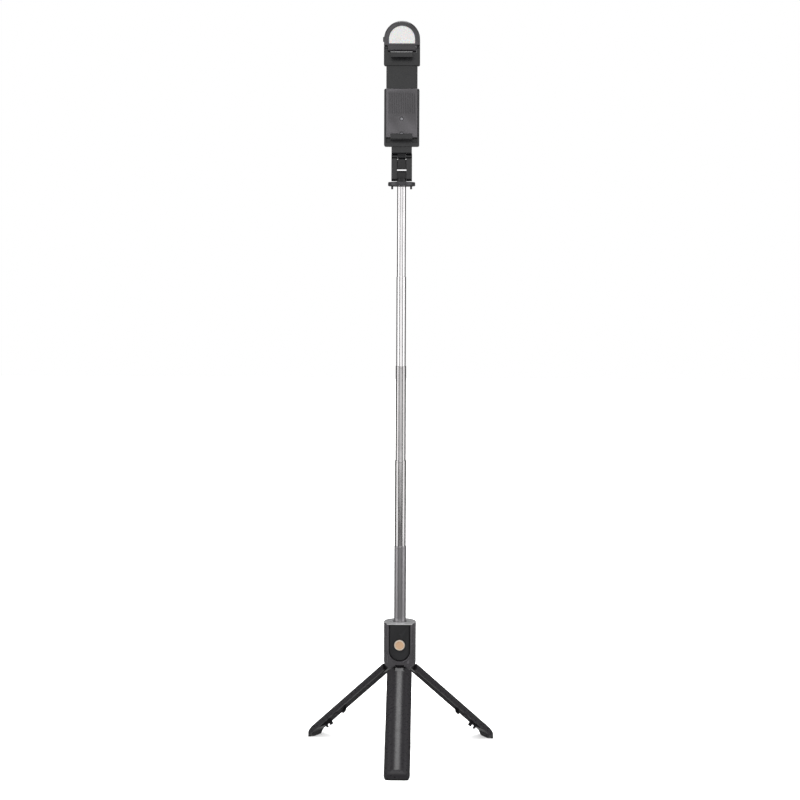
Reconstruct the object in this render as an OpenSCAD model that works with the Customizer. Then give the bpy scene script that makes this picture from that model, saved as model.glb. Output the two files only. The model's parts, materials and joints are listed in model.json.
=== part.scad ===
// Telescopic selfie stick with fold-out tripod legs, a clip-in remote and a phone clamp with a light.
// Z is up along the pole, the floor is z = 0 and the remote faces -Y. Shown open, as it stands in use.

/* [Handle] */
// Height of the handle's top face above the floor, mm
handle_top = 126.7; // [110:0.1:150]
// Radius of the round handle body, mm
handle_r = 15.6; // [13:0.1:18]
// Half width of the raised frame round the remote, mm
frame_half = 12.4; // [11:0.1:13.5]
// How far the raised frame stands in front of the pole's axis, mm
frame_front = 15.4; // [14:0.1:17]

/* [Tripod legs] */
// Angle each leg opens from the pole, degrees
leg_open = 48.6; // [30:0.1:60]
// Height of the leg hinges above the floor, mm
leg_pivot_z = 84.2; // [70:0.1:100]
// Distance of the leg hinges from the pole's axis, mm
leg_pivot_r = 8.7; // [8.5:0.1:9.5]
// Outer radius of the three folded legs together, mm
leg_r = 14.1; // [12:0.1:14.6]
// Wall of a leg shell, mm
leg_wall = 2.4; // [1.6:0.1:3]
// Thickness of the rubber sole under each leg, mm
sole_t = 1.6; // [1:0.1:3]

/* [Telescopic pole] */
// Outer diameter of the fixed tube, mm
fixed_tube_d = 12.4; // [12:0.1:13]
// Wall of every tube, mm
tube_wall = 0.3; // [0.25:0.05:0.5]
// Sliding gap between neighbouring tubes, mm
tube_gap = 0.1; // [0.05:0.01:0.1]
// Visible length of tube 1, the widest moving tube, mm
reach_1 = 74.1; // [50:0.1:90]
// Visible length of tube 2, mm
reach_2 = 83.1; // [50:0.1:90]
// Visible length of tube 3, mm
reach_3 = 91; // [50:0.1:95]
// Visible length of tube 4, mm
reach_4 = 85.3; // [50:0.1:90]
// Visible length of tube 5, the narrowest tube, mm
reach_5 = 86; // [50:0.1:90]

/* [Remote] */
// Width of the clip-in remote, mm
remote_w = 18.6; // [17:0.1:20]
// Radius of the remote's round button, mm
button_r = 5; // [4:0.1:5.5]

/* [Neck] */
// Radius of the docking disc on top of the pole, mm
disc_r = 12.9; // [10:0.1:14]
// Full width of the neck link, mm
neck_w = 19.5; // [16:0.1:22]
// Distance between the neck's two hinges, mm
neck_len = 15.5; // [15.2:0.1:20]

/* [Phone clamp] */
// Gap between the jaws with the clamp pulled open, mm
jaw_gap = 76; // [60:0.5:90]
// Width of both jaws, mm
jaw_w = 20.6; // [16:0.2:26]
// Full width of the clamp's sliding tray, mm
clamp_w = 33.2; // [28:0.2:38]

/* [Light] */
// Outer radius of the round-topped light, mm
light_r = 17; // [14:0.1:18]
// Radius of the light's window, mm
window_r = 12.3; // [9:0.1:13]

/* [Hidden] */
$fn = 96;
e = 0.01;
plate_t = 0.7;
pin_r = 1;
pin_hole_r = 1.05;
knuckle_r = 2.6;
front_bevel = 1.1;
remote_gap = 1;
leg_half_gap = 0.25;
leg_azimuths = [-90, 30, 150];
leg_in_r = leg_r - leg_wall;
leg_top_s = 5.3;
tip_s = 114.7;
tip_bend_r = 10.5;
tip_axis_h = leg_r - leg_pivot_r - tip_bend_r;
tip_x = leg_pivot_r + tip_axis_h * cos(leg_open) + tip_s * sin(leg_open) + tip_bend_r;
tip_z = leg_pivot_z + tip_axis_h * sin(leg_open) - tip_s * cos(leg_open);
heel_x = tip_x - 5.5;
body_low_z = 79.6;
shell_low_z = 81.4;
shell_top_z = handle_top - plate_t;
hub_top_z = 90.2;
hub_r = 11.4;
d0 = fixed_tube_d;
step_d = 2 * (tube_wall + tube_gap);
d1 = d0 - step_d;
d2 = d1 - step_d;
d3 = d2 - step_d;
d4 = d3 - step_d;
d5 = d4 - step_d;
rim_0 = handle_top - 0.5;
top_1 = rim_0 + reach_1;
top_2 = top_1 + reach_2;
top_3 = top_2 + reach_3;
top_4 = top_3 + reach_4;
top_5 = top_4 + reach_5;
len_1 = rim_0 - 8.6;
len_2 = len_1 - 3;
len_3 = len_2 - 3;
len_4 = len_3 - 3;
len_5 = len_4 - 3;
disc_z = top_5;
disc_t = 3.6;
pin_low_z = disc_z + 12.6;
pin_up_z = pin_low_z + neck_len;
clamp_z = pin_up_z + 8.8;
jaw_low_z = clamp_z + 8.1;
jaw_up_z = jaw_low_z + jaw_gap;
back_y = -0.4;
tray_front_y = -8.2;
tray_top_z = clamp_z + 54;
cover_screw_zs = [clamp_z + 12, clamp_z + 26];
head_z = jaw_up_z - 8.6;
arm_in_x = 13.3;
light_pin_z = jaw_up_z + 6.9;
light_pin_y = -4.4;
split_z = light_pin_z + 3.8;
light_c = split_z + 5.4;
remote_r = remote_w / 2;
remote_c = 100.5;
remote_top = handle_top - 0.95;
remote_front = -14.3;
remote_back = -7.5;
button_z = 105.9;

// A round rod along X, centred on x = 0.
module rod_x(r, length, y, z) {
  translate([0, y, z])
    rotate([0, 90, 0])
      cylinder(r = r, h = length, center = true);
}

// A round rod along Y between two y values.
module rod_y(r, y0, y1, x, z) {
  translate([x, y1, z])
    rotate([90, 0, 0])
      cylinder(r = r, h = y1 - y0);
}

// A flat outline drawn in X and Z, made solid between two y values.
module slab_y(y0, y1) {
  translate([0, y1, 0])
    rotate([90, 0, 0])
      linear_extrude(height = y1 - y0)
        children();
}

// A flat outline drawn in Y and Z, made solid between two x values.
module slab_x(x0, x1) {
  translate([x0, 0, 0])
    rotate([90, 0, 90])
      linear_extrude(height = x1 - x0)
        children();
}

// A box between two corners.
module box(a, b) {
  translate(a)
    cube(b - a);
}

// A tube with its inside edges left sharp.
module tube(d, z0, z1) {
  translate([0, 0, z0])
    difference() {
      cylinder(d = d, h = z1 - z0);
      translate([0, 0, -1])
        cylinder(d = d - 2 * tube_wall, h = z1 - z0 + 2);
    }
}

// A disc facing -Y with its front rim bevelled, the front layer of a rounded plate.
module bevelled_disc(r, front, z) {
  translate([0, front + front_bevel, z])
    rotate([90, 0, 0])
      cylinder(r1 = r, r2 = r - front_bevel, h = front_bevel);
}

// The outline of an upright bar facing -Y with both front edges bevelled, drawn in X and Y.
module bevelled_front(r, front, back) {
  polygon([[-r, back], [-r, front + front_bevel], [-r + front_bevel, front],
    [r - front_bevel, front], [r, front + front_bevel], [r, back]]);
}

// A rectangle with round corners, drawn about its centre.
module round_rect(w, h, r) {
  union() {
    square([w - 2 * r, h], center = true);
    square([w, h - 2 * r], center = true);
    for (x = [-1, 1], y = [-1, 1])
      translate([x * (w / 2 - r), y * (h / 2 - r)])
        circle(r = r);
  }
}

// ---- Handle ----

// The outline of the remote, grown by a margin, drawn in X and Z and cut off at a height.
module remote_outline(grow, top) {
  translate([0, remote_c])
    circle(r = remote_r + grow);
  translate([-remote_r - grow, remote_c])
    square([2 * (remote_r + grow), top - remote_c]);
}

// Half of the handle's profile, for turning about the pole: it rounds in towards the legs.
module handle_profile(top) {
  round_r = 9.5;
  round_z = 88;
  translate([0, round_z])
    square([handle_r, top - round_z]);
  intersection() {
    translate([handle_r - round_r, round_z])
      circle(r = round_r);
    translate([0, body_low_z])
      square([handle_r, round_z - body_low_z + e]);
  }
  translate([0, body_low_z])
    square([handle_r - round_r, round_z - body_low_z + e]);
}

// The handle's outside with the raised frame round the remote.
module handle_outside() {
  rotate_extrude()
    handle_profile(shell_top_z);
  slab_y(-frame_front + front_bevel, 0)
    remote_outline(frame_half - remote_r, shell_top_z);
  bevelled_disc(frame_half, -frame_front, remote_c);
  translate([0, 0, remote_c])
    linear_extrude(height = shell_top_z - remote_c)
      bevelled_front(frame_half, -frame_front, 0);
}

// The arched mouth a leg swings out through, drawn in X and Z.
module leg_arch() {
  corner = 0.8;
  top_half = 4.7;
  top_z = 86.8;
  foot_half = 8.6;
  flare_z = 85.4;
  translate([-top_half, 70])
    square([2 * top_half, top_z - corner - 70]);
  translate([-top_half + corner, 70])
    square([2 * (top_half - corner), top_z - 70]);
  for (m = [-1, 1])
    translate([m * (top_half - corner), top_z - corner])
      circle(r = corner);
  polygon([
    [-foot_half, 70], [foot_half, 70], [foot_half, shell_low_z],
    [top_half, flare_z], [-top_half, flare_z], [-foot_half, shell_low_z]]);
}

module handle_shell() {
  color([0.13, 0.13, 0.14])
    difference() {
      handle_outside();
      // Room for the tripod hub, whose flange closes the rounded lower end.
      translate([0, 0, 70])
        cylinder(r = hub_r + 0.2, h = hub_top_z + 0.2 - 70);
      translate([0, 0, 70])
        cylinder(r = 30, h = shell_low_z - 70);
      // Hollow between the outer wall and the tube sleeve.
      difference() {
        translate([0, 0, 95])
          cylinder(r = handle_r - 1.8, h = 40);
        translate([0, 0, 90])
          cylinder(r = 7.2, h = 50);
        box([-20, -20, 90], [20, -6.2, 140]);
      }
      translate([0, 0, 60])
        cylinder(d = fixed_tube_d, h = 90);
      // Remote pocket, open at the front.
      slab_y(-20, -7.2)
        remote_outline(remote_gap, handle_top);
      // Screw holes into the web above the hub.
      for (a = leg_azimuths)
        rotate([0, 0, a + 60])
          translate([9, 0, 80])
            cylinder(r = 0.9, h = 19);
      for (a = leg_azimuths)
        rotate([0, 0, a + 90])
          slab_y(-20, -5)
            leg_arch();
    }
}

module top_plate() {
  color([0.62, 0.62, 0.64])
    difference() {
      translate([0, 0, shell_top_z])
        linear_extrude(height = plate_t) {
          circle(r = handle_r);
          bevelled_front(frame_half, -frame_front, 0);
        }
      translate([0, 0, 100])
        cylinder(r = 6.7, h = 40);
      for (x = [-9, 9])
        translate([x, 0, 100])
          cylinder(r = 1.4, h = 40);
    }
}

// One ring with three open yokes; each yoke holds a leg's hinge pin.
module tripod_hub() {
  color([0.16, 0.16, 0.17])
    difference() {
      union() {
        translate([0, 0, shell_low_z - 1])
          cylinder(r = hub_r, h = hub_top_z - shell_low_z + 1);
        intersection() {
          rotate_extrude()
            handle_profile(handle_top);
          translate([0, 0, 70])
            cylinder(r = 30, h = shell_low_z - 0.1 - 70);
        }
      }
      translate([0, 0, 70])
        cylinder(d = fixed_tube_d, h = 40);
      for (a = leg_azimuths)
        rotate([0, 0, a]) {
          box([6.3, -4.5, 70], [20, 4.5, 87.9]);
          translate([leg_pivot_r, 0, leg_pivot_z])
            rotate([90, 0, 0])
              cylinder(r = pin_r, h = 12, center = true);
          rotate([0, 0, 60])
            translate([9, 0, 70]) {
              cylinder(r = 1.1, h = 40);
              cylinder(r = 1.75, h = 13.4);
            }
        }
    }
}

module hub_screws() {
  color([0.55, 0.55, 0.57])
    for (a = leg_azimuths)
      rotate([0, 0, a + 60])
        translate([9, 0, 82]) {
          cylinder(r = 0.9, h = 12.5);
          cylinder(r = 1.7, h = 1.4);
        }
}

module outer_tube() {
  color([0.42, 0.42, 0.44])
    tube(d0, 4, rim_0);
}

module outer_tube_plug() {
  color([0.08, 0.08, 0.08])
    translate([0, 0, 2.8]) {
      cylinder(d = d0, h = 1.2);
      cylinder(d = d0 - 2 * tube_wall, h = 4);
    }
}

module leg_hinge_pins() {
  color([0.6, 0.6, 0.62])
    for (a = leg_azimuths)
      rotate([0, 0, a])
        translate([leg_pivot_r, 0, leg_pivot_z])
          rotate([90, 0, 0])
            cylinder(r = pin_r, h = 12, center = true);
}

// ---- Tripod legs ----

// Places a folded leg, drawn about its hinge, in its open pose in the radial plane y = 0.
module opened() {
  translate([leg_pivot_r, 0, leg_pivot_z])
    rotate([0, -leg_open, 0])
      children();
}

// A third of a disc about the pole's axis, with a small gap to the neighbours.
module sector(r) {
  cut = leg_half_gap / sin(60);
  intersection() {
    circle(r = r);
    polygon([[cut, 0], [cut + 20, 20 * tan(60)], [cut + 20, -20 * tan(60)]]);
  }
}

// A third of a cylinder in a folded leg's own frame, between two distances below the hinge.
module sector_bar(r, s0, s1) {
  translate([-leg_pivot_r, 0, -s1])
    linear_extrude(height = s1 - s0)
      sector(r);
}

// The end of a leg curves in to meet the floor upright.
module leg_tip_curve() {
  reach = leg_r - leg_pivot_r;
  opened()
    rotate([90, 0, 0])
      linear_extrude(height = 60, center = true) {
        translate([reach - 40, -tip_s])
          square([40, tip_s + 10]);
        translate([tip_axis_h, -tip_s])
          circle(r = tip_bend_r);
      }
  box([tip_x - 20, -30, -5], [tip_x, 30, tip_z]);
}

// A leg's outline seen from outside, with rounded shoulders at the hinge end.
module leg_outline() {
  half = leg_r * sin(60);
  corner = 1.4;
  slab_x(-150, 150) {
    translate([-half, -140])
      square([2 * half, 140 - leg_top_s - corner]);
    translate([-half + corner, -140])
      square([2 * (half - corner), 140 - leg_top_s]);
    for (m = [-1, 1])
      translate([m * (half - corner), -leg_top_s - corner])
        circle(r = corner);
  }
}

// The open leg seen from above, with rounded corners at its tip.
module leg_plan() {
  half = leg_r * sin(60);
  corner = 4.5;
  translate([0, 0, -5])
    linear_extrude(height = 110) {
      translate([0, -half])
        square([tip_x - corner, 2 * half]);
      translate([0, -half + corner])
        square([tip_x, 2 * (half - corner)]);
      for (m = [-1, 1])
        translate([tip_x - corner, m * (half - corner)])
          circle(r = corner);
    }
}

// A leg's outside in the open pose, before the floor is cut off it.
module leg_outside() {
  intersection() {
    leg_plan();
    union() {
      opened()
        intersection() {
          sector_bar(leg_r, leg_top_s, 119.5);
          box([-1.97, -20, -140], [20, 20, 0]);
          leg_outline();
        }
      intersection() {
        opened()
          sector_bar(leg_r, 109, 140);
        box([heel_x, -20, -1], [130, 20, 60]);
      }
    }
    leg_tip_curve();
  }
}

// Hooks and pegs on the inside of a leg that locate the folded legs on each other.
module leg_inner_features() {
  // Two centring pegs near the foot.
  box([-6.6, -1.4, -101.1], [3, 1.4, -98.3]);
  translate([0, 0, -105.7])
    rotate([0, 90, 0])
      translate([0, 0, -6.2])
        cylinder(r = 1.3, h = 9.4);
  // A snap hook beside each edge.
  for (m = [0, 1])
    mirror([0, m, 0])
      intersection() {
        translate([-leg_pivot_r, 0, -85.6])
          rotate([0, 0, 58.6])
            box([7.3, -1.7, 0], [11.6, -0.3, 4.2]);
        sector_bar(leg_r, 60, 100);
      }
  // Cross ribs.
  for (s = [26, 50, 92])
    intersection() {
      sector_bar(leg_in_r + 0.5, s, s + 1.4);
      box([0.6, -20, -140], [20, 20, 0]);
    }
}

module leg_shell() {
  difference() {
    leg_outside();
    // The hollow that faces the pole.
    opened()
      translate([-leg_pivot_r, 0, -109.5])
        cylinder(r = leg_in_r, h = 120);
    // Notch round the tongue at the hinge end.
    opened()
      box([-5, -4.9, -9.2], [10, 4.9, 0]);
    box([0, -30, -10], [140, 30, sole_t]);
  }
  opened() {
    difference() {
      union() {
        rotate([90, 0, 0])
          cylinder(r = 2.2, h = 8.4, center = true);
        box([-1.9, -4.2, -4], [1.9, 4.2, 0]);
        rotate([90, 0, 0])
          linear_extrude(height = 7.8, center = true)
            polygon([[-1.9, -3.1], [2.6, -3.1], [3.8, -4.3], [3.8, -9.6], [2.9, -13], [-1.9, -13]]);
      }
      rotate([90, 0, 0])
        cylinder(r = pin_hole_r, h = 20, center = true);
    }
    leg_inner_features();
  }
}

module leg_sole() {
  intersection() {
    leg_outside();
    box([0, -30, 0], [140, 30, sole_t]);
  }
}

module leg_shell_front() {
  color([0.14, 0.14, 0.15])
    rotate([0, 0, -90])
      leg_shell();
}

module leg_sole_front() {
  color([0.05, 0.05, 0.05])
    rotate([0, 0, -90])
      leg_sole();
}

module leg_shell_right() {
  color([0.14, 0.14, 0.15])
    rotate([0, 0, 30])
      leg_shell();
}

module leg_sole_right() {
  color([0.05, 0.05, 0.05])
    rotate([0, 0, 30])
      leg_sole();
}

module leg_shell_left() {
  color([0.14, 0.14, 0.15])
    rotate([0, 0, 150])
      leg_shell();
}

module leg_sole_left() {
  color([0.05, 0.05, 0.05])
    rotate([0, 0, 150])
      leg_sole();
}

// ---- Remote ----

module remote_front_shell() {
  color([0.11, 0.11, 0.12])
    difference() {
      slab_y(remote_front, -10.6)
        remote_outline(0, remote_top);
      slab_y(remote_front + 1.2, -10)
        remote_outline(-1.2, remote_top - 1.2);
      rod_y(button_r + 0.3, -20, -10, 0, button_z);
      rod_y(button_r + 0.9, -20, remote_front + 0.35, 0, button_z);
      rod_y(0.5, -20, -10, 0, 116.4);
    }
}

module remote_back_shell() {
  color([0.11, 0.11, 0.12])
    difference() {
      slab_y(-10.6, remote_back)
        remote_outline(0, remote_top);
      slab_y(-11, remote_back - 1)
        remote_outline(-1.2, remote_top - 1.2);
    }
}

module remote_circuit_board() {
  color([0.1, 0.32, 0.2])
    slab_y(-11, -10.2)
      remote_outline(-1.4, remote_top - 1.4);
}

module remote_tact_switch() {
  color([0.6, 0.6, 0.6])
    box([-2.2, -11.75, button_z - 2.2], [2.2, -11, button_z + 2.2]);
}

module remote_battery() {
  color([0.7, 0.7, 0.72])
    rod_y(6.2, -10, -8.6, 0, 113);
}

module remote_battery_contact() {
  color([0.75, 0.68, 0.4]) {
    box([-3, -10.2, 112], [3, -10, 118]);
    box([-3, -10.2, 98], [3, -9.2, 99]);
  }
}

module remote_button() {
  color([0.75, 0.5, 0.34]) {
    rod_y(button_r, -14.9, -12.8, 0, button_z);
    rod_y(button_r + 1, -12.95, -12.4, 0, button_z);
    rod_y(1.4, -12.4, -12.25, 0, button_z);
  }
}

module remote_status_light() {
  color([0.3, 0.5, 0.85])
    rod_y(0.5, remote_front, -11, 0, 116.4);
}

// ---- Telescopic pole ----

module pole_tube_1() {
  color([0.5, 0.5, 0.52])
    tube(d1, top_1 - len_1, top_1);
}

module pole_tube_2() {
  color([0.55, 0.55, 0.57])
    tube(d2, top_2 - len_2, top_2);
}

module pole_tube_3() {
  color([0.6, 0.6, 0.62])
    tube(d3, top_3 - len_3, top_3);
}

module pole_tube_4() {
  color([0.64, 0.64, 0.66])
    tube(d4, top_4 - len_4, top_4);
}

module pole_tube_5() {
  color([0.68, 0.68, 0.7])
    tube(d5, top_5 - len_5, top_5);
}

// A hollow plug that closes the lower end of a moving tube.
module glide(d, z) {
  inner = d - 2 * tube_wall;
  translate([0, 0, z])
    difference() {
      union() {
        translate([0, 0, -0.8])
          cylinder(d = d, h = 0.8);
        translate([0, 0, -0.8])
          cylinder(d = inner, h = 2.6);
      }
      translate([0, 0, -5])
        cylinder(d = inner - 2, h = 20);
    }
}

module pole_glide_1() {
  color([0.2, 0.2, 0.2])
    glide(d1, top_1 - len_1);
}

module pole_glide_2() {
  color([0.2, 0.2, 0.2])
    glide(d2, top_2 - len_2);
}

module pole_glide_3() {
  color([0.2, 0.2, 0.2])
    glide(d3, top_3 - len_3);
}

module pole_glide_4() {
  color([0.2, 0.2, 0.2])
    glide(d4, top_4 - len_4);
}

module pole_glide_5() {
  color([0.2, 0.2, 0.2])
    glide(d5, top_5 - len_5);
}

// ---- Neck ----

module pole_top_plug() {
  color([0.15, 0.15, 0.15])
    difference() {
      translate([0, 0, disc_z - 12])
        cylinder(d = d5 - 2 * tube_wall, h = 12);
      translate([0, 0, disc_z - 20])
        cylinder(r = 1.55, h = 40);
      translate([0, 0, disc_z - 20])
        cylinder(r = 2.8, h = 13);
    }
}

module docking_disc() {
  color([0.3, 0.3, 0.31]) {
    difference() {
      translate([0, 0, disc_z])
        rotate_extrude()
          polygon([[0, 0], [disc_r - 0.4, 0], [disc_r, 0.4], [disc_r, disc_t - 0.4],
            [disc_r - 0.4, disc_t], [0, disc_t]]);
      translate([0, 0, disc_z - 1])
        cylinder(r = 1.55, h = 10);
    }
    for (x = [-9, 9])
      translate([x, 0, disc_z - 3])
        cylinder(r = 1, h = 3.2);
  }
}

module swivel_screw() {
  color([0.6, 0.6, 0.62])
    translate([0, 0, disc_z - 9]) {
      cylinder(r = 2.6, h = 1.9);
      cylinder(r = 1.5, h = 16.4);
    }
}

module swivel_washer() {
  color([0.65, 0.65, 0.66])
    translate([0, 0, disc_z + disc_t + 0.05])
      difference() {
        cylinder(r = 4.2, h = 0.4);
        translate([0, 0, -1])
          cylinder(r = 1.5, h = 5);
      }
}

// The ear that carries the lower hinge and turns on the docking disc.
module swivel_lug() {
  base = disc_z + disc_t + 0.45;
  color([0.14, 0.14, 0.14])
    difference() {
      union() {
        translate([0, 0, base])
          cylinder(r = 4.2, h = 3.2);
        slab_x(-4.4, 4.4) {
          translate([0, pin_low_z])
            circle(r = 1.9);
          translate([-1.9, base])
            square([3.8, pin_low_z - base]);
        }
      }
      translate([0, 0, disc_z])
        cylinder(r = 1.5, h = 7.4);
      rod_x(pin_hole_r, 30, 0, pin_low_z);
    }
}

module lower_hinge_pin() {
  color([0.62, 0.62, 0.64])
    rod_x(pin_r, neck_w - 1.6, 0, pin_low_z);
}

// Two side arms joined by the detent block; the knuckles at the top carry the clamp.
module neck_link() {
  color([0.12, 0.12, 0.12])
    difference() {
      union() {
        for (s = [-1, 1])
          slab_x(s > 0 ? 4.5 : -neck_w / 2, s > 0 ? neck_w / 2 : -4.5) {
            translate([-3.1, pin_low_z - 5.5])
              square([6.2, neck_len + 3.3]);
            translate([-1.1, pin_low_z - 8])
              square([2.2, 3]);
            translate([-0.6, pin_low_z - 5.5])
              circle(r = 2.5);
            translate([0.6, pin_low_z - 5.5])
              circle(r = 2.5);
            translate([0, pin_up_z])
              circle(r = knuckle_r);
          }
        slab_x(-4.6, 4.6) {
          translate([1.4, pin_low_z + 3.3])
            square([1.7, neck_len - 6.2]);
        }
        for (s = [-1, 1])
          slab_x(s > 0 ? 3.85 : -5, s > 0 ? 5 : -3.85)
            translate([0, pin_up_z])
              circle(r = knuckle_r);
      }
      rod_x(pin_r, neck_w - 1.6, 0, pin_low_z);
      rod_x(pin_r, neck_w - 1.6, 0, pin_up_z);
      // The block's seat between the arms.
      box([-4.5, -3.2, pin_low_z + 3.3], [4.5, 1.4, pin_up_z - 2.9]);
    }
}

// Spring-loaded block that clicks the neck upright.
module neck_detent_block() {
  color([0.17, 0.17, 0.17])
    slab_y(-2.9, 1.4)
      polygon([[-4.5, pin_low_z + 3.3], [4.5, pin_low_z + 3.3], [3.5, pin_up_z - 2.72],
        [-3.5, pin_up_z - 2.72]]);
}

module upper_hinge_pin() {
  color([0.62, 0.62, 0.64])
    rod_x(pin_r, neck_w - 1.6, 0, pin_up_z);
}

// ---- Phone clamp ----

// One jaw with a lip at its front, drawn from the side in Y and Z.
module jaw_side(z_face, up) {
  d = up ? 1 : -1;
  polygon([
    [tray_front_y + 0.4, z_face + d * 1.2], [-19.6, z_face + d * 1.2], [-20.2, z_face - d * 2.4],
    [-20.9, z_face - d * 2.8], [-21.6, z_face - d * 2.4], [-21.8, z_face + d * 1.9],
    [-20.8, z_face + d * 2.9], [tray_front_y + 0.4, z_face + d * 2.9]]);
}

module clamp_base() {
  color([0.1, 0.1, 0.11])
    difference() {
      union() {
        // Tray with a back wall and two side walls.
        difference() {
          slab_y(tray_front_y, back_y)
            translate([0, (clamp_z + tray_top_z) / 2])
              round_rect(clamp_w, tray_top_z - clamp_z, 1.6);
          box([-15, -20, clamp_z + 3.2], [15, -2, tray_top_z + 5]);
        }
        // Spring posts and cover bosses.
        for (x = [-6, 6])
          rod_y(0.9, -6.4, -1.5, x, clamp_z + 6.3);
        for (z = cover_screw_zs)
          rod_y(1.9, -6.5, -1.5, 0, z);
        slab_x(-jaw_w / 2, jaw_w / 2)
          jaw_side(jaw_low_z, false);
        box([-jaw_w / 2, tray_front_y - 0.2, clamp_z + 1.4], [jaw_w / 2, -6.5, jaw_low_z - 1.2]);
        // Block and middle knuckle of the upper hinge.
        difference() {
          slab_x(-9.6, 9.6)
            polygon([[-6, clamp_z + 1], [-0.4, clamp_z + 1], [-0.4, pin_up_z + 2.4],
              [-2.07, pin_up_z + 1.81], [-5.2, pin_up_z + 2.3], [-6, pin_up_z + 3.2]]);
          for (s = [-1, 1])
            translate([s * 8.8, 0, 0])
              rod_x(2.75, 10, 0, pin_up_z);
        }
        slab_x(-3.7, 3.7) {
          translate([0, pin_up_z])
            circle(r = knuckle_r);
          polygon([[-knuckle_r, pin_up_z], [knuckle_r, pin_up_z], [2, clamp_z - 4.4], [-0.5, clamp_z],
            [-5, clamp_z], [-5, clamp_z - 4.2]]);
        }
      }
      rod_x(pin_hole_r, 30, 0, pin_up_z);
      for (z = cover_screw_zs)
        rod_y(0.8, -20, -2.4, 0, z);
    }
}

module clamp_front_cover() {
  color([0.12, 0.12, 0.13])
    difference() {
      slab_y(tray_front_y, -6.6)
        translate([-14.9, jaw_low_z + 0.2])
          square([29.8, tray_top_z - jaw_low_z - 0.2]);
      for (z = cover_screw_zs) {
        rod_y(0.9, -20, 0, 0, z);
        rod_y(1.8, -20, -7.3, 0, z);
      }
    }
}

module clamp_cover_screws() {
  color([0.55, 0.55, 0.57])
    for (z = cover_screw_zs) {
      rod_y(0.8, -7.4, -3, 0, z);
      rod_y(1.7, -8.1, -7.3, 0, z);
    }
}

// A ribbed rubber pad glued to a jaw.
module jaw_pad(z0, ribs_up) {
  rib_z = ribs_up ? z0 + 0.8 : z0 - 0.3;
  box([-9.6, -19.2, z0], [9.6, -8.6, z0 + 0.9]);
  for (x = [-8.4 : 1.4 : 8.5])
    box([x - 0.35, -19.2, rib_z], [x + 0.35, -8.6, rib_z + 0.4]);
}

module lower_jaw_pad() {
  color([0.05, 0.05, 0.05])
    jaw_pad(jaw_low_z - 1.2, true);
}

module upper_jaw_pad() {
  color([0.05, 0.05, 0.05])
    jaw_pad(jaw_up_z + 0.3, false);
}

// A coil with hooks, drawn as a square wire that winds up the Z axis.
module coil(r, z0, z1, turns) {
  translate([0, 0, z0])
    linear_extrude(height = z1 - z0, twist = -360 * turns, slices = turns * 10, $fn = 6)
      polygon([for (a = [0 : 45 : 90]) [r * cos(a), r * sin(a)],
        for (a = [90 : -45 : 0]) [(r - 0.55) * cos(a), (r - 0.55) * sin(a)]]);
}

module clamp_springs() {
  color([0.6, 0.6, 0.62])
    for (x = [-6, 6])
      translate([x, -4.3, 0])
        coil(1.5, clamp_z + 7.4, clamp_z + 49, 18);
}

module clamp_slider() {
  color([0.11, 0.11, 0.12])
    difference() {
      union() {
        // Two rails in the tray, joined by the head.
        for (s = [-1, 1])
          box([s > 0 ? 8.6 : -14.7, -6.3, clamp_z + 24], [s > 0 ? 14.7 : -8.6, -2.3, head_z + 1]);
        box([-14.7, -6.3, clamp_z + 50.2], [14.7, -2.3, head_z + 1]);
        slab_y(-8, -0.8)
          polygon([
            [-light_r, head_z + 1], [-light_r + 1, head_z], [light_r - 1, head_z],
            [light_r, head_z + 1], [light_r, light_pin_z], [arm_in_x, light_pin_z],
            [arm_in_x, light_pin_z - 3.3], [-arm_in_x, light_pin_z - 3.3],
            [-arm_in_x, light_pin_z], [-light_r, light_pin_z]]);
        for (s = [-1, 1])
          slider_arm_end(s);
        slab_x(-jaw_w / 2, jaw_w / 2)
          jaw_side(jaw_up_z, true);
      }
      rod_x(pin_hole_r, 31, light_pin_y, light_pin_z);
    }
}

// The rounded upper end of one of the slider's two arms.
module slider_arm_end(s) {
  translate([s > 0 ? arm_in_x : -light_r, light_pin_y, light_pin_z])
    rotate([0, 90, 0])
      cylinder(r = 3.6, h = light_r - arm_in_x);
}

// ---- Light ----

// A round-topped arch, drawn in X and Z.
module arch(r, bottom) {
  translate([0, light_c])
    circle(r = r);
  translate([-r, bottom])
    square([2 * r, light_c - bottom]);
}

// The arch with its rounding below the centre cut off.
module arch_cut(r, bottom) {
  intersection() {
    arch(r, bottom);
    translate([-30, bottom])
      square([60, 60]);
  }
}

module light_housing() {
  color([0.14, 0.14, 0.15])
    difference() {
      union() {
        slab_y(-8 + front_bevel, -2.4)
          arch_cut(light_r, split_z);
        intersection() {
          bevelled_disc(light_r, -8, light_c);
          translate([-30, -20, split_z])
            cube(60);
        }
        translate([0, 0, split_z])
          linear_extrude(height = light_c - split_z)
            bevelled_front(light_r, -8, -4);
        slab_x(-arm_in_x + 0.15, arm_in_x - 0.15) {
          translate([light_pin_y, light_pin_z])
            circle(r = 2.9);
          translate([light_pin_y - 2.9, light_pin_z])
            square([4.4, 5]);
        }
      }
      slab_y(-6.2, -2)
        arch_cut(light_r - 1.5, split_z + 1.3);
      slab_y(-9, -6)
        arch_cut(window_r, split_z + 1.3);
      slab_y(-7.4, -6)
        arch_cut(window_r + 1, split_z + 1.3);
      rod_x(pin_r, 40, light_pin_y, light_pin_z);
      // Side openings for the button and the charging port.
      box([-20, -5.9, light_c - 2.5], [-10, -3.5, light_c + 2.5]);
      box([10, -6, light_c - 4.4], [20, -3, light_c + 4.4]);
    }
}

module light_back_cover() {
  color([0.13, 0.13, 0.14])
    slab_y(-2.4, -0.8)
      arch_cut(light_r, split_z);
}

module light_diffuser() {
  color([0.93, 0.93, 0.92])
    union() {
      slab_y(-7.7, -6.3)
        arch_cut(window_r, split_z + 1.3);
      slab_y(-7.4, -6.3)
        arch_cut(window_r + 0.9, split_z + 1.3);
    }
}

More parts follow.
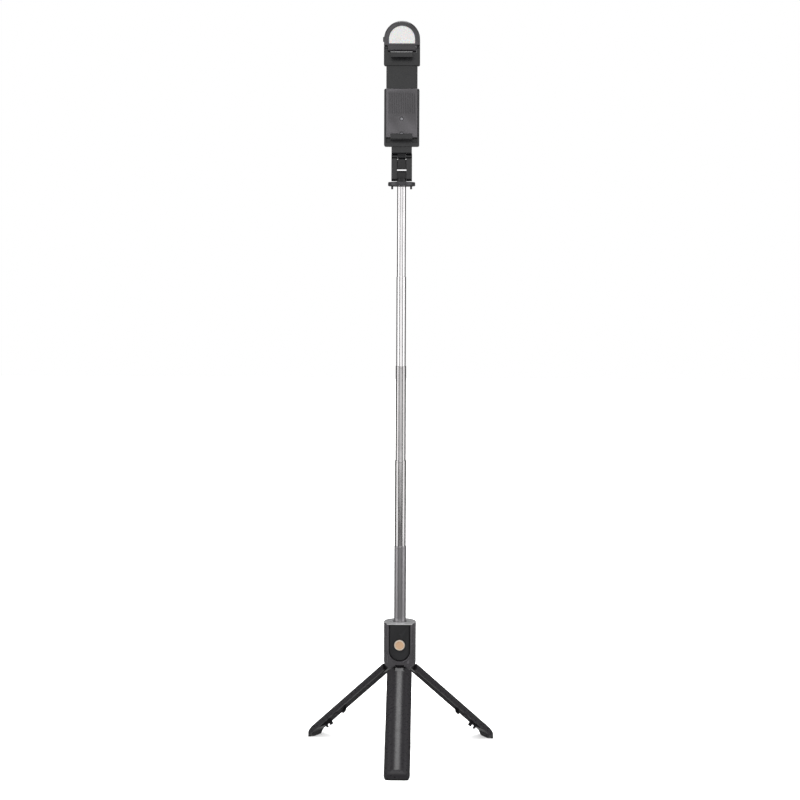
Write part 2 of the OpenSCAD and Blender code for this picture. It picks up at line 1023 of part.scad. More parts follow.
module light_led_board() {
  color([0.9, 0.9, 0.88]) {
    slab_y(-5.2, -4.6)
      arch_cut(11.3, split_z + 1.5);
    for (x = [-6.9 : 4.6 : 7], z = [split_z + 3.4 : 4.6 : split_z + 13])
      box([x - 1, -5.7, z - 1], [x + 1, -5.2, z + 1]);
  }
}

module light_battery() {
  color([0.75, 0.75, 0.78])
    box([-10, -4.5, split_z + 2], [8.6, -2.5, split_z + 14]);
}

module light_power_button() {
  color([0.08, 0.08, 0.08]) {
    box([-light_r - 0.9, -5.7, light_c - 2.2], [-14.4, -3.7, light_c + 2.2]);
    box([-14.9, -6, light_c - 2.9], [-14.2, -3.4, light_c + 2.9]);
  }
}

module light_hinge_pin() {
  color([0.62, 0.62, 0.64])
    rod_x(pin_r, 31, light_pin_y, light_pin_z);
}

module light_charge_port() {
  color([0.5, 0.5, 0.52])
    translate([light_r - 5.3, -4.5, light_c])
      rotate([0, 90, 0])
        difference() {
          linear_extrude(height = 5)
            round_rect(8.6, 2.8, 1.39);
          translate([0, 0, 1])
            linear_extrude(height = 5)
              round_rect(7.8, 2, 0.99);
        }
}

handle_shell();
top_plate();
tripod_hub();
hub_screws();
outer_tube();
outer_tube_plug();
leg_hinge_pins();
leg_shell_front();
leg_sole_front();
leg_shell_right();
leg_sole_right();
leg_shell_left();
leg_sole_left();
remote_front_shell();
remote_back_shell();
remote_circuit_board();
remote_tact_switch();
remote_battery();
remote_battery_contact();
remote_button();
remote_status_light();
pole_tube_1();
pole_tube_2();
pole_tube_3();
pole_tube_4();
pole_tube_5();
pole_glide_1();
pole_glide_2();
pole_glide_3();
pole_glide_4();
pole_glide_5();
pole_top_plug();
docking_disc();
swivel_screw();
swivel_washer();
swivel_lug();
lower_hinge_pin();
neck_link();
neck_detent_block();
upper_hinge_pin();
clamp_base();
clamp_front_cover();
clamp_cover_screws();
lower_jaw_pad();
clamp_springs();
clamp_slider();
upper_jaw_pad();
light_housing();
light_back_cover();
light_diffuser();
light_led_board();
light_battery();
light_power_button();
light_hinge_pin();
light_charge_port();
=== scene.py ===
"""Looks, light and camera for a telescopic selfie stick standing on its open tripod legs.

Lengths in the shape functions are in millimetres in the row's own frame; MM turns them into metres.
"""
import json
import math

import bmesh
import bpy
from mathutils import Matrix, Vector


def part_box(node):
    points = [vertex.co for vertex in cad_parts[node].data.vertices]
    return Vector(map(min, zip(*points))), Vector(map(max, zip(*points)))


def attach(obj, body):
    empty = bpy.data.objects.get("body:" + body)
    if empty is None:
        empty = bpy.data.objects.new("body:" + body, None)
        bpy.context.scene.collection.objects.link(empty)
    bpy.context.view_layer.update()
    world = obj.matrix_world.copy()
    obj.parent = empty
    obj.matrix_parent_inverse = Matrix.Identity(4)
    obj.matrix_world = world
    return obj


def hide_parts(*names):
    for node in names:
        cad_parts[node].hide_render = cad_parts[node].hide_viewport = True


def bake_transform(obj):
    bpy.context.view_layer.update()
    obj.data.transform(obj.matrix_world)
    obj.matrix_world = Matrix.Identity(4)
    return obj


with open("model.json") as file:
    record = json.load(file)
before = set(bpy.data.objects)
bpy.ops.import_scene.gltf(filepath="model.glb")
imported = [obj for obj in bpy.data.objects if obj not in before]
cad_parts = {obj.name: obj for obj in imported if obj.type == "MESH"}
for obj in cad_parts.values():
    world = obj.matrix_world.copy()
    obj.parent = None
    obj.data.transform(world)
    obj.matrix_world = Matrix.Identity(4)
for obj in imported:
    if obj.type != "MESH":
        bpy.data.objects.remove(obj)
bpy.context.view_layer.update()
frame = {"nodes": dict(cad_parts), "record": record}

MM = 0.001
NODES = frame["nodes"]
SLOT_OF = {entry["node"]: entry["material_slot"] for entry in frame["record"]["subparts"]}
BODIES = frame["record"]["behaviour"]["bodies"]
BODY_OF = {node: body for body, members in BODIES.items() for node in members}

GLOSS_SPREAD = 0.05  # how far a roughness wanders to either side
PAINTED_EDGE_HIGHLIGHT = 1.8  # how much paler the plastic is painted along its sharp edges: a painted highlight
SHARP_FROM = 30  # edges at least this sharp, in degrees, are rounded
JOIN_WITHIN = 0.0005  # points of a turned shape closer than this are one point, in millimetres
COLLAPSE_WITHIN = 0.0002  # edges shorter than this are taken out of a turned shape, in millimetres
TUBE_WALL = 0.3  # the wall of a pole tube, in millimetres
SCREW_HEAD = 0.8  # the height of a cover screw's head, in millimetres
SPRING_WIRE = 0.26  # the radius of a clamp spring's wire, in millimetres
SPRING_TURNS = 26
BUTTON_RIM = 1.1  # the width of the pale ring round the remote's key, in millimetres


# ---------------------------------------------------------------- measures taken from the frame

def box_mm(node):
    """The CAD node's lowest and highest corners, in millimetres."""
    low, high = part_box(node)
    return Vector(low) / MM, Vector(high) / MM


def axis_height(node):
    """The height of a CAD node's middle, in metres."""
    low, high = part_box(node)
    return (low[2] + high[2]) / 2


def button_radii():
    """The radii of the remote key's flange and of the key that stands on it, in millimetres."""
    low, high = box_mm("remote_button")
    flange = (high.z - low.z) / 2
    return flange, flange - 1


# ---------------------------------------------------------------- materials

def shader(name, roughness, metallic=0.0):
    """A material with a Principled shader; returns the material, its node tree and the shader node."""
    material = bpy.data.materials.new(name)
    material.use_nodes = True
    tree = material.node_tree
    surface = tree.nodes["Principled BSDF"]
    surface.inputs["Roughness"].default_value = roughness
    surface.inputs["Metallic"].default_value = metallic
    return material, tree, surface


def add(tree, kind, inputs=None, **settings):
    """A new node with its settings and its inputs, each a value or another node's output."""
    node = tree.nodes.new(kind)
    for key, value in settings.items():
        setattr(node, key, value)
    for key, value in (inputs or {}).items():
        if isinstance(value, bpy.types.NodeSocket):
            tree.links.new(value, node.inputs[key])
        else:
            node.inputs[key].default_value = value
    return node


def object_coords(tree, scale=(1, 1, 1)):
    """Object coordinates in millimetres, stretched by a scale on each axis."""
    coords = add(tree, "ShaderNodeTexCoord")
    stretch = tuple(s / MM for s in scale)
    inputs = {"Vector": coords.outputs["Object"], "Scale": stretch}
    return add(tree, "ShaderNodeMapping", inputs).outputs["Vector"]


def noise(tree, vector, scale, detail=3.0, roughness=0.55):
    """A noise value from 0 to 1; scale is the number of features to a millimetre."""
    inputs = {"Vector": vector, "Scale": scale, "Detail": detail, "Roughness": roughness}
    return add(tree, "ShaderNodeTexNoise", inputs).outputs["Fac"]


def ramp(tree, value, low, high, from_min=0.3, from_max=0.7):
    """Maps a noise value onto a range of numbers."""
    inputs = {"Value": value, "From Min": from_min, "From Max": from_max, "To Min": low, "To Max": high}
    return add(tree, "ShaderNodeMapRange", inputs).outputs["Result"]


def blend_colour(tree, factor, first, second):
    """Mixes two colours or colour outputs by a factor."""
    mix = add(tree, "ShaderNodeMix", data_type="RGBA")
    for index, value in ((0, factor), (6, first), (7, second)):
        if isinstance(value, bpy.types.NodeSocket):
            tree.links.new(value, mix.inputs[index])
        else:
            mix.inputs[index].default_value = value if index == 0 else (*value, 1)
    return mix.outputs[2]


def bump(tree, surface, height, distance, strength=0.5):
    """Joins a height to the shader's normal; distance is in millimetres."""
    inputs = {"Height": height, "Distance": distance * MM, "Strength": strength}
    normal = add(tree, "ShaderNodeBump", inputs).outputs["Normal"]
    tree.links.new(normal, surface.inputs["Normal"])


def shaded(colour, factor):
    """A colour made lighter or darker."""
    return tuple(min(1, c * factor) for c in colour)


def mottled(tree, value, colour, darker, lighter):
    """A colour that runs from darker to lighter with a noise value."""
    return blend_colour(tree, ramp(tree, value, 0, 1), shaded(colour, darker), shaded(colour, lighter))


def paint(tree, surface, colour):
    """Joins a colour to the shader."""
    tree.links.new(colour, surface.inputs["Base Color"])


def wander(tree, surface, value, low, high):
    """Lets the shader's roughness run from low to high with a noise value."""
    tree.links.new(ramp(tree, value, low, high), surface.inputs["Roughness"])


def moulded(name, colour, roughness, grain=5.0, depth=0.012, coat=0.0):
    """Moulded plastic: spark-eroded grain, uneven gloss, faint cloudiness and a painted highlight along
    its sharp edges.
    """
    material, tree, surface = shader(name, roughness)
    vector = object_coords(tree)
    cloud = noise(tree, vector, 0.09, 4)
    fine = noise(tree, vector, grain, 2, 0.7)
    smear = noise(tree, vector, 0.35, 5, 0.6)
    body = mottled(tree, cloud, colour, 0.86, 1.16)
    # Pointiness finds the sharp edges, and they are painted paler as a highlight.
    edge = add(tree, "ShaderNodeNewGeometry").outputs["Pointiness"]
    painted_edge_highlight = ramp(tree, edge, 0, 1, 0.52, 0.60)
    paint(tree, surface, blend_colour(tree, painted_edge_highlight, body, shaded(colour, PAINTED_EDGE_HIGHLIGHT)))
    wander(tree, surface, smear, roughness - GLOSS_SPREAD, roughness + GLOSS_SPREAD)
    bump(tree, surface, fine, depth, 0.4)
    surface.inputs["Coat Weight"].default_value = coat
    surface.inputs["Coat Roughness"].default_value = 0.12
    return material


def rubber(name, colour):
    """Soft rubber: matt, dusty in its hollows and faintly pitted."""
    material, tree, surface = shader(name, 0.78)
    vector = object_coords(tree)
    dust = noise(tree, vector, 0.25, 5, 0.65)
    pits = noise(tree, vector, 3.5, 3)
    dusty = ramp(tree, dust, 0, 1, 0.45, 0.8)
    paint(tree, surface, blend_colour(tree, dusty, colour, shaded(colour, 2.1)))
    wander(tree, surface, dust, 0.7, 0.88)
    bump(tree, surface, pits, 0.03, 0.7)
    surface.inputs["Sheen Weight"].default_value = 0.15
    return material


def drawn_metal(name, colour, roughness, along=(3.2, 3.2, 0.004), depth=0.004):
    """Metal drawn or brushed in one direction: long fine scratches and soft smudges."""
    material, tree, surface = shader(name, roughness, 1.0)
    lines = noise(tree, object_coords(tree, along), 2.2, 4, 0.6)
    smudge = noise(tree, object_coords(tree), 0.06, 4, 0.5)
    tone = mottled(tree, lines, colour, 0.9, 1.1)
    paint(tree, surface, blend_colour(tree, ramp(tree, smudge, 0, 0.35), tone, shaded(colour, 0.8)))
    wander(tree, surface, smudge, roughness - GLOSS_SPREAD, roughness + GLOSS_SPREAD)
    bump(tree, surface, lines, depth, 0.5)
    return material


def radius_from(tree, centre, axis):
    """The distance in millimetres from a Y or Z axis through a centre given in metres."""
    coords = add(tree, "ShaderNodeTexCoord").outputs["Object"]
    moved = add(tree, "ShaderNodeVectorMath", {0: coords, 1: centre}, operation="SUBTRACT").outputs[0]
    flat = (1 / MM, 0, 1 / MM) if axis == "Y" else (1 / MM, 1 / MM, 0)
    squashed = add(tree, "ShaderNodeVectorMath", {0: moved, 1: flat}, operation="MULTIPLY").outputs[0]
    return add(tree, "ShaderNodeVectorMath", {0: squashed}, operation="LENGTH").outputs["Value"]


def turned_metal(name, colour, roughness, metallic=1.0, centre=(0, 0, 0), axis="Z", rim=None):
    """Metal faced on a lathe: fine rings round an axis, and a rim of another (radius, colour) if given."""
    material, tree, surface = shader(name, roughness, metallic)
    radius = radius_from(tree, centre, axis)
    inputs = {"W": radius, "Scale": 4.0, "Detail": 3}
    rings = add(tree, "ShaderNodeTexNoise", inputs, noise_dimensions="1D").outputs["Fac"]
    tone = mottled(tree, rings, colour, 0.88, 1.1)
    if rim:
        rim_radius, rim_colour = rim
        outside = ramp(tree, radius, 0, 1, rim_radius - 0.1, rim_radius + 0.1)
        tone = blend_colour(tree, outside, tone, rim_colour)
    paint(tree, surface, tone)
    wander(tree, surface, rings, roughness - GLOSS_SPREAD, roughness + GLOSS_SPREAD)
    bump(tree, surface, rings, 0.01, 0.5)
    return material


def copper_key(name):
    """The remote's key: a copper-coloured spun face inside a pale ring."""
    radius = button_radii()[1] - BUTTON_RIM
    centre = (0, 0, axis_height("remote_button"))
    return turned_metal(name, (1.0, 0.62, 0.38), 0.42, 0.0, centre, "Y", (radius, (1.0, 0.85, 0.70)))


def cell_metal(name):
    """The coin cell: bright metal with rings round its own axis."""
    centre = (0, 0, axis_height("remote_battery"))
    return turned_metal(name, (0.62, 0.62, 0.63), 0.25, centre=centre, axis="Y")


def milky(name, colour):
    """A milky diffuser: faint dimples, a soft inner glow and a slightly uneven tint."""
    material, tree, surface = shader(name, 0.38)
    vector = object_coords(tree)
    cloud = noise(tree, vector, 0.12, 3)
    inputs = {"Vector": vector, "Scale": 0.9, "Randomness": 0.1}
    dimples = add(tree, "ShaderNodeTexVoronoi", inputs).outputs["Distance"]
    paint(tree, surface, mottled(tree, cloud, colour, 0.97, 1.03))
    bump(tree, surface, dimples, 0.04, 0.35)
    surface.inputs["Subsurface Weight"].default_value = 0.2
    surface.inputs["Subsurface Scale"].default_value = 0.002
    surface.inputs["Emission Color"].default_value = (1, 0.99, 0.97, 1)
    surface.inputs["Emission Strength"].default_value = 0.18
    surface.inputs["Coat Weight"].default_value = 0.3
    surface.inputs["Coat Roughness"].default_value = 0.2
    return material


MATERIALS = {
    # The handle shell's black is a much paler grey than the legs' black: partly its own dark grey, partly
    # painted sheen for the light its sides reflect.
    "shell_black": moulded("shell_black", (0.085, 0.080, 0.087), 0.25, depth=0.003),
    "leg_black": moulded("leg_black", (0.018, 0.0168, 0.0188), 0.29, depth=0.001),
    "plate_grey": turned_metal("plate_grey", (0.74, 0.74, 0.75), 0.36, 0.5),
    "hub_black": moulded("hub_black", (0.010, 0.010, 0.011), 0.42),
    "screw_steel": turned_metal("screw_steel", (0.36, 0.36, 0.38), 0.3),
    "pin_steel": drawn_metal("pin_steel", (0.55, 0.55, 0.56), 0.25, along=(0.02, 3, 3)),
    # The tubes' three tones run from dark to pale up the pole: partly their own anodised shades, partly
    # painted light for the upper tubes lit more brightly.
    "tube_graphite": drawn_metal("tube_graphite", (0.34, 0.33, 0.34), 0.34, depth=0.0002),
    "tube_grey": drawn_metal("tube_grey", (0.46, 0.448, 0.45), 0.17, depth=0.0002),
    "tube_light": drawn_metal("tube_light", (0.74, 0.725, 0.73), 0.15, depth=0.0002),
    "glide_plastic": moulded("glide_plastic", (0.05, 0.05, 0.05), 0.5),
    "rubber_black": rubber("rubber_black", (0.010, 0.010, 0.011)),
    "remote_black": moulded("remote_black", (0.013, 0.013, 0.0145), 0.44, grain=7.0, depth=0.02),
    "board_green": moulded("board_green", (0.03, 0.16, 0.08), 0.35, grain=2.0),
    "switch_metal": drawn_metal("switch_metal", (0.5, 0.5, 0.5), 0.3, along=(1, 1, 1)),
    "cell_metal": cell_metal("cell_metal"),
    "contact_brass": drawn_metal("contact_brass", (0.75, 0.58, 0.28), 0.25, along=(2, 2, 0.1)),
    "button_copper": copper_key("button_copper"),
    "lens_smoke": moulded("lens_smoke", (0.03, 0.034, 0.042), 0.12, coat=0.6),
    "disc_grey": turned_metal("disc_grey", (0.055, 0.054, 0.058), 0.33, 0.35),
    "clamp_black": moulded("clamp_black", (0.009, 0.009, 0.010), 0.30, coat=0.1),
    "spring_steel": drawn_metal("spring_steel", (0.5, 0.5, 0.5), 0.25, along=(2, 2, 2)),
    "light_black": moulded("light_black", (0.042, 0.039, 0.043), 0.27, depth=0.006, coat=0.1),
    "diffuser_white": milky("diffuser_white", (0.84, 0.84, 0.83)),
    "pouch_silver": drawn_metal("pouch_silver", (0.6, 0.6, 0.62), 0.35, along=(1, 1, 1)),
}


# ---------------------------------------------------------------- mesh tools

def to_object(name, bm, unit=MM):
    """Turns a bmesh in millimetres into a linked object in metres."""
    bm.normal_update()
    mesh = bpy.data.meshes.new(name)
    bm.to_mesh(mesh)
    bm.free()
    mesh.transform(Matrix.Scale(unit, 4))
    made = bpy.data.objects.new(name, mesh)
    bpy.context.scene.collection.objects.link(made)
    return made


def copy_of(node, merge=0.01):
    """A bmesh of a CAD node in millimetres, its flat faces joined up again."""
    bm = bmesh.new()
    bm.from_mesh(NODES[node].data)
    bmesh.ops.transform(bm, matrix=Matrix.Scale(1 / MM, 4), verts=bm.verts)
    bmesh.ops.remove_doubles(bm, verts=bm.verts, dist=merge)
    bmesh.ops.dissolve_limit(bm, angle_limit=math.radians(0.6), verts=bm.verts, edges=bm.edges)
    return bm


def round_edges(bm, width, steps=2):
    """Rounds the sharp edges."""
    sharp = math.radians(SHARP_FROM)
    picked = []
    for edge in bm.edges:
        if len(edge.link_faces) == 2 and edge.calc_face_angle(0) >= sharp:
            picked.append(edge)
    if picked:
        bmesh.ops.bevel(
            bm, geom=picked, offset=width, offset_type="OFFSET", segments=steps, profile=0.5,
            affect="EDGES", clamp_overlap=True)


def smooth(made, angle=34):
    """Shades the faces smooth, with creases where they meet at more than an angle."""
    for face in made.data.polygons:
        face.use_smooth = True
    made.data.set_sharp_from_angle(angle=math.radians(angle))
    flatten = made.modifiers.new("flat_faces_stay_flat", "WEIGHTED_NORMAL")
    flatten.keep_sharp = True
    return made


def show(made, body, nodes, slot):
    """Gives a piece the material of its slot, parents it to its body and hides the CAD nodes it stands in
    for.
    """
    made.data.materials.clear()
    made.data.materials.append(MATERIALS[slot])
    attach(made, body)
    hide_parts(*nodes)


def refine(node, width, steps=2, merge=0.01):
    """A piece made from a CAD node's own shape with its edges rounded."""
    bm = copy_of(node, merge)
    round_edges(bm, width, steps)
    piece = smooth(to_object(node + "_shape", bm))
    show(piece, BODY_OF[node], [node], SLOT_OF[node])


def lathe(name, profile, steps=96, axis="Z", centre=(0, 0, 0)):
    """A closed profile of (radius, height) points turned round an axis through a centre."""
    bm = bmesh.new()
    rings = []
    for step in range(steps):
        angle = 2 * math.pi * step / steps
        ring = []
        for radius, height in profile:
            point = (radius * math.cos(angle), radius * math.sin(angle), height)
            ring.append(bm.verts.new(point))
        rings.append(ring)
    count = len(profile)
    for step in range(steps):
        first, second = rings[step], rings[(step + 1) % steps]
        for k in range(count):
            following = (k + 1) % count
            bm.faces.new((first[k], second[k], second[following], first[following]))
    bmesh.ops.remove_doubles(bm, verts=bm.verts, dist=JOIN_WITHIN)
    bmesh.ops.dissolve_degenerate(bm, edges=bm.edges, dist=COLLAPSE_WITHIN)
    bmesh.ops.recalc_face_normals(bm, faces=bm.faces)
    turn = Matrix.Rotation(math.radians(90), 4, "X") if axis == "Y" else Matrix.Identity(4)
    bmesh.ops.transform(bm, matrix=Matrix.Translation(centre) @ turn, verts=bm.verts)
    return smooth(to_object(name, bm))


def block(name, low, high, round_by=0.0):
    """A box between two corners with rounded edges."""
    bm = bmesh.new()
    size = Vector(high) - Vector(low)
    place = Matrix.Translation((Vector(high) + Vector(low)) / 2) @ Matrix.Diagonal((*size, 1))
    bmesh.ops.create_cube(bm, size=1, matrix=place)
    if round_by:
        round_edges(bm, round_by, 3)
    return smooth(to_object(name, bm))


def cut(piece, *tools):
    """Takes other shapes out of a piece and removes them."""
    for tool in tools:
        step = piece.modifiers.new("cut", "BOOLEAN")
        step.operation = "DIFFERENCE"
        step.solver = "EXACT"
        step.object = tool
    bpy.context.view_layer.update()
    finished = piece.evaluated_get(bpy.context.evaluated_depsgraph_get())
    shaped = bpy.data.meshes.new_from_object(finished)
    piece.modifiers.clear()
    piece.data = shaped
    for tool in tools:
        bpy.data.objects.remove(tool)
    return smooth(piece)


# ---------------------------------------------------------------- handle and remote

def make_handle():
    """The handle body and the plate that caps it, with soft edges."""
    refine("handle_shell", 0.25, merge=0.03)
    refine("top_plate", 0.22, 3, merge=0.03)


def make_remote():
    """The remote's two shells, its lens and what they hold."""
    refine("remote_front_shell", 0.3, 3)
    refine("remote_back_shell", 0.2)
    refine("remote_status_light", 0.1)
    for node in ("remote_circuit_board", "remote_tact_switch", "remote_battery", "remote_battery_contact"):
        refine(node, 0.08)


def make_button():
    """The round key: a pale polished rim, a ring groove and a slightly hollow spun face."""
    low, high = box_mm("remote_button")
    flange, key = button_radii()
    tall = high.y - low.y
    stem, foot = 1.4, 0.15
    brim = 0.6
    groove_out = key - BUTTON_RIM
    groove_in = groove_out - 0.2
    hollow = tall - 0.22
    profile = [
        (0, 0), (stem, 0), (stem, foot), (flange, foot), (flange, brim), (key, brim + 0.05),
        (key, tall - 0.35), (key - 0.12, tall - 0.1), (key - 0.35, tall),
        (groove_out + 0.15, tall - 0.02), (groove_out, hollow), (groove_in, hollow),
        (groove_in - 0.15, tall - 0.08), (2.2, tall - 0.16), (0, hollow)]
    middle = (low.z + high.z) / 2
    piece = lathe("remote_button_shape", profile, 96, "Y", (0, high.y, middle))
    show(piece, "remote_key", ["remote_button"], "button_copper")


# ---------------------------------------------------------------- hub and legs

def make_hub():
    """The tripod hub, its screws and the leg hinge pins."""
    refine("tripod_hub", 0.25, merge=0.02)
    refine("hub_screws", 0.12)
    refine("leg_hinge_pins", 0.12)


def make_legs():
    """The three legs and their soles, with soft edges."""
    for name in ("front", "right", "left"):
        refine("leg_shell_" + name, 0.2, merge=0.05)
        refine("leg_sole_" + name, 0.2, merge=0.03)


# ---------------------------------------------------------------- pole

def make_tube(node, inner):
    """A drawn tube with a bead under its rim, which rolls in until it nearly touches the next tube."""
    low, high = box_mm(node)
    outside = high.x
    bore = outside - TUBE_WALL
    lip = inner + 0.03
    bead_low, bead_high = high.z - 2.6, high.z - 2.0
    bead_deep = 0.05
    profile = [
        (outside, low.z), (outside, bead_low), (outside - bead_deep, bead_low + 0.15),
        (outside - bead_deep, bead_high - 0.15), (outside, bead_high),
        (outside, high.z - 0.45), (outside - 0.06, high.z - 0.2), (outside - 0.16, high.z - 0.04),
        (outside - 0.24, high.z), (lip + 0.05, high.z - 0.02), (lip, high.z - 0.12),
        (lip, high.z - 1.6), (bore, high.z - 1.9), (bore, low.z)]
    show(lathe(node + "_shape", profile), BODY_OF[node], [node], SLOT_OF[node])


def make_pole():
    """The six tubes, each with the bore its neighbour needs, and the plugs inside them."""
    moving = range(1, 6)
    tubes = ["outer_tube"] + ["pole_tube_%d" % k for k in moving]
    radii = [box_mm(node)[1].x for node in tubes]
    for node, outside, neighbour in zip(tubes, radii, radii[1:] + [radii[-1]]):
        make_tube(node, min(neighbour, outside - TUBE_WALL))
    for k in moving:
        refine("pole_glide_%d" % k, 0.1)
    refine("outer_tube_plug", 0.25)
    refine("pole_top_plug", 0.1)


# ---------------------------------------------------------------- neck and clamp

def make_neck():
    """The docking disc, the swivel and the folding neck."""
    refine("docking_disc", 0.15, 2)
    refine("swivel_lug", 0.25, 3)
    refine("neck_link", 0.45, 3, merge=0.02)
    refine("neck_detent_block", 0.35, 3)
    for node in ("swivel_screw", "swivel_washer", "lower_hinge_pin", "upper_hinge_pin"):
        refine(node, 0.12)


def make_screw_head(name, centre, radius, tall):
    """A pan head with a cross recess, its face towards -Y."""
    x, y, z = centre
    profile = [
        (0, 0), (radius, 0), (radius, tall * 0.45), (radius * 0.8, tall * 0.85),
        (radius * 0.45, tall), (0, tall)]
    head = lathe(name, profile, 48, "Y", (x, y + tall, z))
    wide, thin, deep = radius * 0.58, radius * 0.14, tall * 0.6
    across = block("across", (x - wide, y - 1, z - thin), (x + wide, y + deep, z + thin))
    upright = block("upright", (x - thin, y - 1, z - wide), (x + thin, y + deep, z + wide))
    return cut(head, across, upright)


def make_spring(name, centre, radius, low, high, steps=14, sides=8):
    """A round-wire coil that winds up the Z axis from low to high."""
    bm = bmesh.new()
    count = SPRING_TURNS * steps
    rise = (high - low - 2 * SPRING_WIRE) / count
    up = Vector((0, 0, 1))
    rings = []
    for k in range(count + 1):
        angle = 2 * math.pi * k / steps
        outward = Vector((math.cos(angle), math.sin(angle), 0))
        middle = Vector(centre) + outward * radius + up * (low + SPRING_WIRE + rise * k)
        ring = []
        for j in range(sides):
            around = 2 * math.pi * j / sides
            spoke = outward * math.cos(around) + up * math.sin(around)
            ring.append(bm.verts.new(middle + spoke * SPRING_WIRE))
        rings.append(ring)
    for first, second in zip(rings, rings[1:]):
        for j in range(sides):
            following = (j + 1) % sides
            bm.faces.new((first[j], first[following], second[following], second[j]))
    bm.faces.new(rings[0][::-1])
    bm.faces.new(rings[-1])
    bmesh.ops.recalc_face_normals(bm, faces=bm.faces)
    return smooth(to_object(name, bm), 60)


def make_clamp_cover():
    """The cover of the clamp's tray: soft edges, fine upright grooves and two screw wells."""
    low, high = box_mm("clamp_front_cover")
    screws_low, screws_high = box_mm("clamp_cover_screws")
    head = screws_high.x
    well_r = head + 0.1
    thick = high.y - low.y
    groove_half, groove_deep = 0.25, 0.3
    groove_pitch = 1.7
    groove_low, groove_high = screws_high.z + 3, high.z - 4
    cover = block("clamp_front_cover_shape", low, high, 0.5)
    tools = []
    for k in range(-7, 8):
        x = k * groove_pitch
        near = (x - groove_half, low.y - 1, groove_low)
        far = (x + groove_half, low.y + groove_deep, groove_high)
        tools.append(block("groove", near, far))
    for z in (screws_low.z + head, screws_high.z - head):
        well = [(0, -1), (well_r, -1), (well_r, thick + 2), (0, thick + 2)]
        tools.append(lathe("well", well, 48, "Y", (0, high.y + 1, z)))
    show(cut(cover, *tools), "clamp", ["clamp_front_cover"], "shell_black")


def make_cover_screws():
    """The two screws that hold the cover of the clamp's tray."""
    low, high = box_mm("clamp_cover_screws")
    radius = high.x
    for k, z in enumerate((low.z + radius, high.z - radius)):
        screw = make_screw_head("clamp_cover_screw_%d" % (k + 1), (0, low.y, z), radius, SCREW_HEAD)
        show(screw, "clamp", ["clamp_cover_screws"], "screw_steel")


def make_clamp_springs():
    """The two springs that pull the clamp's slider down."""
    low, high = box_mm("clamp_springs")
    middle_y = (low.y + high.y) / 2
    coil = (high.y - low.y) / 2
    for k, x in enumerate((low.x + coil, high.x - coil)):
        name = "clamp_spring_%d" % (k + 1)
        spring = make_spring(name, (x, middle_y, 0), coil - SPRING_WIRE, low.z, high.z)
        spring.data.materials.append(MATERIALS["spring_steel"])
        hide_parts("clamp_springs")
        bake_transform(spring)


def make_clamp():
    """The phone clamp: tray, cover, jaws, pads, screws and springs."""
    refine("clamp_base", 0.3, 3, merge=0.02)
    refine("clamp_slider", 0.3, 3, merge=0.02)
    make_clamp_cover()
    refine("lower_jaw_pad", 0.1)
    refine("upper_jaw_pad", 0.1)
    make_cover_screws()
    make_clamp_springs()


# ---------------------------------------------------------------- light

def make_light():
    """The round-topped light: its housing, milky window, back cover and insides."""
    refine("light_housing", 0.3, 3, merge=0.03)
    refine("light_back_cover", 0.7, 4)
    refine("light_diffuser", 0.25, 3)
    refine("light_power_button", 0.3, 3)
    for node in ("light_led_board", "light_battery", "light_hinge_pin", "light_charge_port"):
        refine(node, 0.08)


make_handle()
make_remote()
make_button()
make_hub()
make_legs()
make_pole()
make_neck()
make_clamp()
make_light()


# ---------------------------------------------------------------- floor, light and camera

def make_floor():
    """A pale floor, far wider than the object."""
    bm = bmesh.new()
    bmesh.ops.create_grid(bm, x_segments=2, y_segments=2, size=6)
    floor = to_object("floor", bm, 1.0)
    material, tree, surface = shader("floor_paper", 0.9)
    cloud = noise(tree, object_coords(tree), 0.01, 3)
    paint(tree, surface, blend_colour(tree, ramp(tree, cloud, 0, 1), (0.93,) * 3, (0.96,) * 3))
    floor.data.materials.append(material)
    floor.visible_diffuse = False
    floor.visible_glossy = False


def make_world():
    """A white studio to look at; the light and reflections come from a dim room with a paler floor."""
    world = bpy.data.worlds.new("studio")
    bpy.context.scene.world = world
    world.use_nodes = True
    tree = world.node_tree
    seen = tree.nodes["Background"]
    seen.inputs["Color"].default_value = (1, 1, 1, 1)
    seen.inputs["Strength"].default_value = 1.0
    around = add(tree, "ShaderNodeTexCoord").outputs["Generated"]
    height = add(tree, "ShaderNodeSeparateXYZ", {"Vector": around}).outputs["Z"]
    from_floor, from_walls = 0.38, 0.13
    strength = ramp(tree, height, from_floor, from_walls, -0.5, -0.12)
    room = add(tree, "ShaderNodeBackground", {"Color": (1, 1, 1, 1), "Strength": strength})
    path = add(tree, "ShaderNodeLightPath")
    mix = add(tree, "ShaderNodeMixShader", {0: path.outputs["Is Camera Ray"]})
    tree.links.new(room.outputs[0], mix.inputs[1])
    tree.links.new(seen.outputs[0], mix.inputs[2])
    tree.links.new(mix.outputs[0], tree.nodes["World Output"].inputs["Surface"])


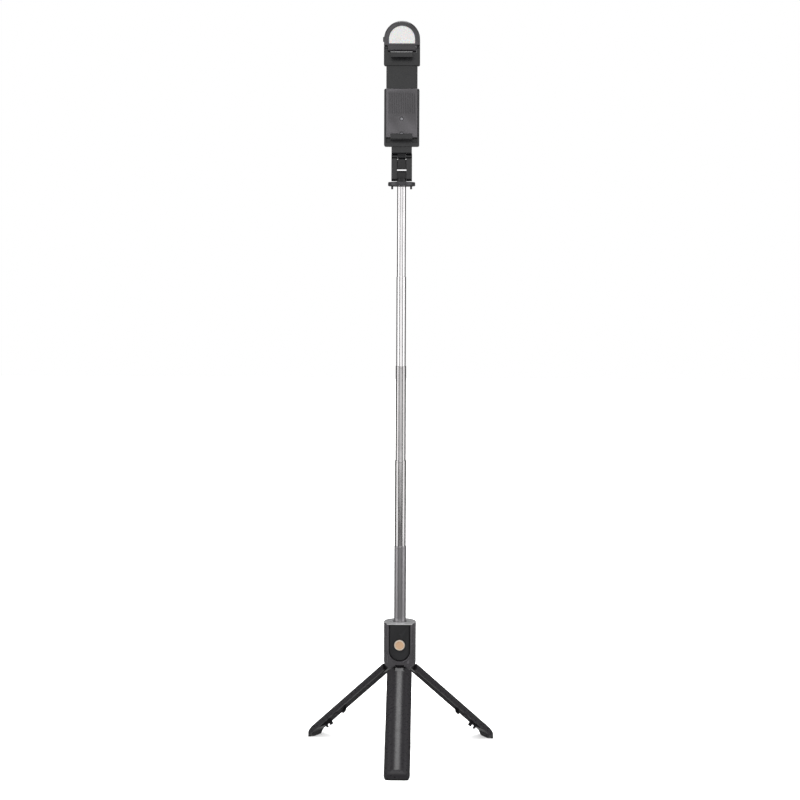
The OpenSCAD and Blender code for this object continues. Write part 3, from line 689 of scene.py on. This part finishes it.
def softbox(name, place, size, watts, aim_z):
    """A rectangular light at a place, turned to face the stick at a height."""
    data = bpy.data.lights.new(name, "AREA")
    data.shape = "RECTANGLE"
    data.size, data.size_y = size
    data.energy = watts
    lamp = bpy.data.objects.new(name, data)
    bpy.context.scene.collection.objects.link(lamp)
    lamp.location = place
    towards = Vector((0, 0, aim_z)) - Vector(place)
    lamp.rotation_euler = towards.to_track_quat("-Z", "Y").to_euler()
    lamp.visible_camera = False


def round_the_stick(azimuth, distance, height):
    """A point round the stick: azimuth 0 is in front of it and 90 to its right, in degrees."""
    angle = math.radians(azimuth)
    return (distance * math.sin(angle), -distance * math.cos(angle), height)


def make_camera(turn=1.4, away=1.5926, height=0.458, dip=4.18, roll=0.22, aside=0.028, focal=74.8):
    """The camera stands nearly square in front of the stick and looks very slightly down."""
    data = bpy.data.cameras.new("camera")
    data.lens = focal
    data.sensor_width = 36
    data.clip_start, data.clip_end = 0.05, 50
    camera = bpy.data.objects.new("camera", data)
    bpy.context.scene.collection.objects.link(camera)
    place = Matrix.Translation(round_the_stick(turn, away, height))
    pan = Matrix.Rotation(math.radians(turn + aside), 4, "Z")
    tilt = Matrix.Rotation(math.radians(90 - dip), 4, "X")
    camera.matrix_world = place @ pan @ tilt @ Matrix.Rotation(math.radians(roll), 4, "Z")
    bpy.context.scene.camera = camera


def make_floor_light():
    """A soft sun that lights only the floor and keeps it white."""
    sun = bpy.data.lights.new("floor_light", "SUN")
    sun.energy = 6
    sun.angle = math.radians(120)
    lamp = bpy.data.objects.new("floor_light", sun)
    bpy.context.scene.collection.objects.link(lamp)
    only_floor = bpy.data.collections.new("lit_by_floor_light")
    only_floor.objects.link(bpy.data.objects["floor"])
    lamp.light_linking.receiver_collection = only_floor
    lamp.light_linking.blocker_collection = only_floor


def make_lights():
    """Soft studio light: a box overhead, a tall box on each side and a wide one in front."""
    softbox("overhead", (0, -0.15, 2.2), (1.15, 1.2), 21, aim_z=0.35)
    for side in (-1, 1):
        softbox("side_box", round_the_stick(side * 71, 1.5, 0.6), (1.25, 1.5), 10, aim_z=0.5)
    softbox("front_box", round_the_stick(0, 1.7, 0.62), (2.0, 1.2), 8.5, aim_z=0.6)


make_floor()
make_world()
make_lights()
make_floor_light()
make_camera()
bpy.context.scene.view_settings.view_transform = "Standard"
